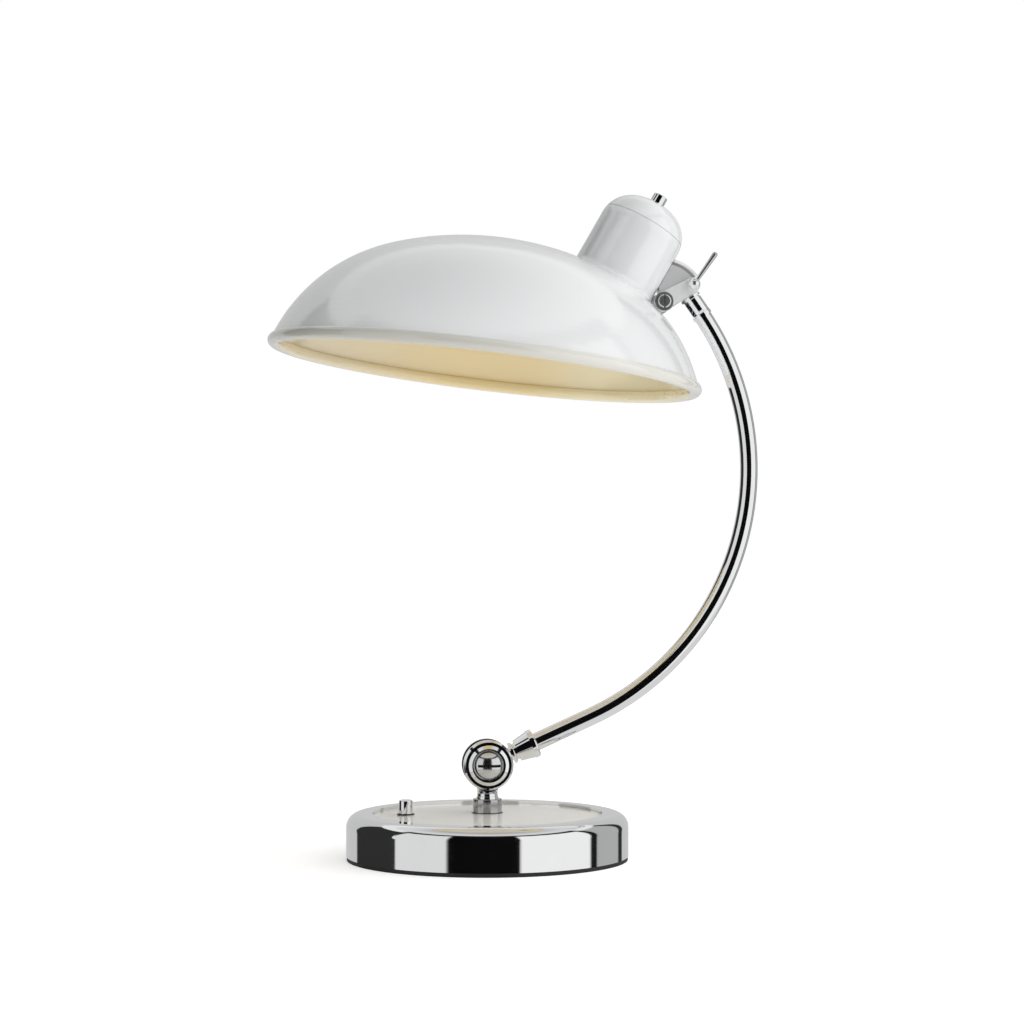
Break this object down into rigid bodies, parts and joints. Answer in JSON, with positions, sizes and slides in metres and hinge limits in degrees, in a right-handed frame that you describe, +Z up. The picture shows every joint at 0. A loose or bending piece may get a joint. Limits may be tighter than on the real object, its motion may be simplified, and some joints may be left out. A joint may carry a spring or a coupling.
{
  "type": "desk lamp",
  "caption": "Desk lamp with a round weighted base, a curved tube arm on a hinged knuckle, and a wide dome shade that tilts on a clamped quadrant.",
  "frame": {"origin": "centre of the base's underside, on the table", "axes": "+Z up. The arm and the shade joint lie in the XZ plane, with the arm bulging towards +X. The cord leaves towards +Y."},
  "size_m": [0.3218, 0.284, 0.4354],
  "materials": {
    "chrome": "polished",
    "shade_lacquer": "glossy white lacquer",
    "quadrant_chrome": "polished",
    "disc_lacquer": "glossy white lacquer",
    "pad": "matt",
    "weight": "raw casting",
    "steel": "zinc plated",
    "grommet": "satin",
    "switch_plastic": "satin",
    "holder_plastic": "glossy",
    "brass": "bright",
    "bulb_metal": "bright",
    "bulb_insulator": "glossy",
    "opal_glass": "opal"
  },
  "bodies": {
    "base": {"base_pad": "pad", "bottom_plate": "steel", "plate_screws": "steel", "ballast": "weight", "base_shell": "chrome", "top_disc": "disc_lacquer", "cord_inlet": "grommet", "switch_bezel": "chrome", "switch_housing": "switch_plastic", "switch_terminals": "brass", "switch_spring": "steel", "stem_collar": "chrome", "stem_nipple": "steel", "nipple_nut": "steel", "lock_ring": "chrome", "stem_fork": "chrome", "knuckle_rings": "chrome", "knuckle_screw": "chrome", "knuckle_nut": "chrome"},
    "button": {"switch_button": "chrome"},
    "arm": {"arm_eye": "chrome", "arm_ferrule": "chrome", "arm_tube": "chrome", "head_collar": "chrome", "arm_head": "chrome", "tilt_washers": "chrome", "tilt_screw": "chrome", "tilt_nut": "chrome"},
    "clamp": {"clamp_screw": "chrome", "clamp_lever": "chrome"},
    "shade": {"tilt_quadrant": "quadrant_chrome", "quadrant_screws": "steel", "shade": "shade_lacquer", "neck_cap": "shade_lacquer", "cap_knob": "chrome", "holder_bridge": "steel", "holder_nipple": "steel", "holder_nut": "steel", "lampholder": "holder_plastic", "screw_shell": "brass", "holder_contact": "brass", "bulb_cap": "bulb_metal", "bulb_contact": "bulb_insulator", "bulb_glass": "opal_glass"}
  },
  "joints": [
    {"name": "button_press", "type": "slide", "parent": "base", "child": "button", "axis": [0, 0, -1], "range_m": [0, 0.0025], "stiffness_N_per_m": 600, "springref_m": -0.001, "deforming": ["switch_spring"]},
    {"name": "arm_tilt", "type": "hinge", "parent": "base", "child": "arm", "pos_m": [0, 0, 0.061], "axis": [0, 1, 0], "range_deg": [-25, 30]},
    {"name": "shade_tilt", "type": "hinge", "parent": "arm", "child": "shade", "pos_m": [0.11517, 0, 0.36289], "axis": [0, 1, 0], "range_deg": [-15, 25]},
    {"name": "clamp_lever_turn", "type": "hinge", "parent": "arm", "child": "clamp", "pos_m": [0.1344, 0, 0.37399], "axis": [0, 1, 0], "range_deg": [0, 60]}
  ]
}
